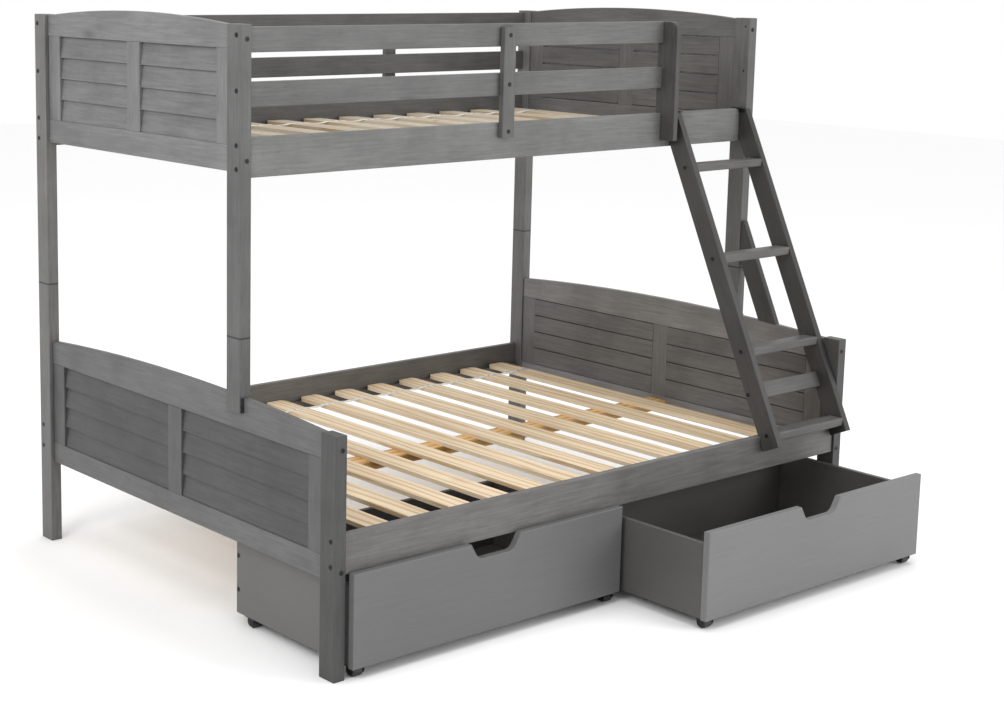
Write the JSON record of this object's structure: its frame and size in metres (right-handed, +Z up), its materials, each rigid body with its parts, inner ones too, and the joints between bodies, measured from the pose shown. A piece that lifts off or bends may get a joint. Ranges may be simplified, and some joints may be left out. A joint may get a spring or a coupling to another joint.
{
  "type": "bunk bed with ladder",
  "caption": "Grey timber bunk bed: narrow upper bunk with guard rails over a wide lower bunk, louvred ends, a leaning ladder and rolling under-bed drawers.",
  "frame": {"origin": "on the floor, in the middle of the bounding box at rest, with the left drawer shut and the right drawer pulled out", "axes": "+X along the bed towards the ladder end, +Y from the front to the back, +Z up"},
  "size_m": [2.0016, 1.7718, 1.607],
  "materials": {
    "grey_timber": "satin grey paint",
    "pine": "bare planed pine",
    "drawer_board": "grey faced board",
    "webbing": "woven tape",
    "bolt_steel": "black oxide",
    "bracket_steel": "black",
    "wheel_plastic": "black moulded",
    "pad_plastic": "black"
  },
  "bodies": {
    "bed": {"back_guard_rails": "grey_timber", "back_guard_straps": "grey_timber", "centre_beam": "pine", "frame_bolts": "bolt_steel", "front_guard_rails": "grey_timber", "front_post_risers": "grey_timber", "guard_end_board": "grey_timber", "guard_strap": "grey_timber", "ladder_bolts": "bolt_steel", "ladder_hooks": "bracket_steel", "ladder_side_brace": "grey_timber", "ladder_stile_left": "grey_timber", "ladder_stile_right": "grey_timber", "ladder_stretcher": "grey_timber", "ladder_treads": "grey_timber", "lower_back_posts": "grey_timber", "lower_back_rail": "grey_timber", "lower_cleats": "pine", "lower_front_posts": "grey_timber", "lower_front_rail": "grey_timber", "lower_left_panel_louvres": "grey_timber", "lower_left_panel_rails": "grey_timber", "lower_left_panel_stiles": "grey_timber", "lower_right_panel_louvres": "grey_timber", "lower_right_panel_rails": "grey_timber", "lower_right_panel_stiles": "grey_timber", "lower_slats": "pine", "post_dowels": "pine", "riser_pads": "pad_plastic", "slat_webbing": "webbing", "upper_back_posts": "grey_timber", "upper_back_rail": "grey_timber", "upper_cleats": "pine", "upper_front_posts": "grey_timber", "upper_front_rail": "grey_timber", "upper_left_panel_louvres": "grey_timber", "upper_left_panel_rails": "grey_timber", "upper_left_panel_stiles": "grey_timber", "upper_right_panel_louvres": "grey_timber", "upper_right_panel_rails": "grey_timber", "upper_right_panel_stiles": "grey_timber", "upper_slats": "pine"},
    "left_drawer": {"left_caster_axles": "bracket_steel", "left_caster_brackets": "bracket_steel", "left_drawer_back": "grey_timber", "left_drawer_bottom": "drawer_board", "left_drawer_front": "grey_timber", "left_drawer_screws": "bolt_steel", "left_drawer_sides": "grey_timber"},
    "left_front_wheels": {"left_front_wheels": "wheel_plastic"},
    "left_rear_wheels": {"left_rear_wheels": "wheel_plastic"},
    "right_drawer": {"right_caster_axles": "bracket_steel", "right_caster_brackets": "bracket_steel", "right_drawer_back": "grey_timber", "right_drawer_bottom": "drawer_board", "right_drawer_front": "grey_timber", "right_drawer_screws": "bolt_steel", "right_drawer_sides": "grey_timber"},
    "right_front_wheels": {"right_front_wheels": "wheel_plastic"},
    "right_rear_wheels": {"right_rear_wheels": "wheel_plastic"}
  },
  "joints": [
    {"name": "left_drawer_slide", "type": "slide", "parent": "bed", "child": "left_drawer", "axis": [0, -1, 0], "range_m": [0, 0.44]},
    {"name": "left_front_wheel_spin", "type": "hinge", "parent": "left_drawer", "child": "left_front_wheels", "pos_m": [-0.479, -0.5579, 0.0125], "axis": [1, 0, 0], "continuous": true},
    {"name": "left_rear_wheel_spin", "type": "hinge", "parent": "left_drawer", "child": "left_rear_wheels", "pos_m": [-0.479, -0.1409, 0.0125], "axis": [1, 0, 0], "continuous": true},
    {"name": "right_drawer_slide", "type": "slide", "parent": "bed", "child": "right_drawer", "axis": [0, -1, 0], "range_m": [-0.3, 0.14]},
    {"name": "right_front_wheel_spin", "type": "hinge", "parent": "right_drawer", "child": "right_front_wheels", "pos_m": [0.479, -0.8579, 0.0125], "axis": [1, 0, 0], "continuous": true},
    {"name": "right_rear_wheel_spin", "type": "hinge", "parent": "right_drawer", "child": "right_rear_wheels", "pos_m": [0.479, -0.4409, 0.0125], "axis": [1, 0, 0], "continuous": true}
  ],
  "couplings": [
    {"joint": "left_front_wheel_spin", "follows": "left_drawer_slide", "rad_per_m": 80},
    {"joint": "left_rear_wheel_spin", "follows": "left_drawer_slide", "rad_per_m": 80},
    {"joint": "right_front_wheel_spin", "follows": "right_drawer_slide", "rad_per_m": 80},
    {"joint": "right_rear_wheel_spin", "follows": "right_drawer_slide", "rad_per_m": 80}
  ]
}
